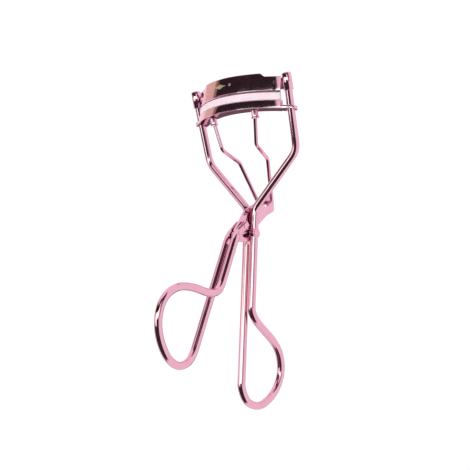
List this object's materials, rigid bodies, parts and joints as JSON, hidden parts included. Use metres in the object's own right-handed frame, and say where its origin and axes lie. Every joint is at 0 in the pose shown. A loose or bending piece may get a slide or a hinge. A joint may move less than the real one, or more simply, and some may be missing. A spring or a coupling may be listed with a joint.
{
  "type": "eyelash curler",
  "caption": "Bent-wire eyelash curler: curved upper jaw on a looped frame, padded lower jaw sliding on its rods, worked by a looped lever handle through a thin push rod.",
  "frame": {"origin": "middle of the frame handle's finger loop, where a finger holds the curler up", "axes": "+Z along the two guide rods towards the jaws, +X along the width of the jaws, -Y towards the bulging front of the jaws"},
  "size_m": [0.041, 0.0595, 0.102],
  "materials": {
    "rose_wire": "polished rose-gold plating on steel wire",
    "rose_sheet": "polished rose-gold plating on pressed steel",
    "rose_rivet": "polished rose-gold plating",
    "silicone": "soft satin silicone"
  },
  "bodies": {
    "frame": {"frame_wire": "rose_wire", "upper_jaw_plate": "rose_sheet", "upper_jaw_clip_left": "rose_sheet", "upper_jaw_clip_right": "rose_sheet", "upper_jaw_rivet_left": "rose_rivet", "upper_jaw_rivet_right": "rose_rivet", "hinge_rivet": "rose_rivet"},
    "lever": {"lever_wire": "rose_wire", "lever_plate": "rose_sheet", "lever_rivet_upper": "rose_rivet", "lever_rivet_lower": "rose_rivet"},
    "lower_jaw": {"lower_jaw_channel": "rose_sheet", "silicone_pad": "silicone", "push_rod_socket_left": "rose_sheet", "push_rod_socket_right": "rose_sheet"},
    "push_rod": {"push_rod_wire": "rose_wire"}
  },
  "joints": [
    {"name": "lever_hinge", "type": "hinge", "parent": "frame", "child": "lever", "pos_m": [0, 0.00411, 0.0392], "axis": [-1, 0, 0], "range_deg": [-0.4, 32]},
    {"name": "jaw_slide", "type": "slide", "parent": "frame", "child": "lower_jaw", "axis": [0, 0, 1], "range_m": [-0.00723, 0.0001]},
    {"name": "push_rod_swing", "type": "hinge", "parent": "lower_jaw", "child": "push_rod", "pos_m": [0, 0.00558, 0.07468], "axis": [1, 0, 0], "range_deg": [-0.09, 6.26]}
  ],
  "couplings": [
    {"joint": "jaw_slide", "follows": "lever_hinge", "m_per_rad": -0.012931},
    {"joint": "push_rod_swing", "follows": "lever_hinge", "ratio": 0.19546}
  ]
}
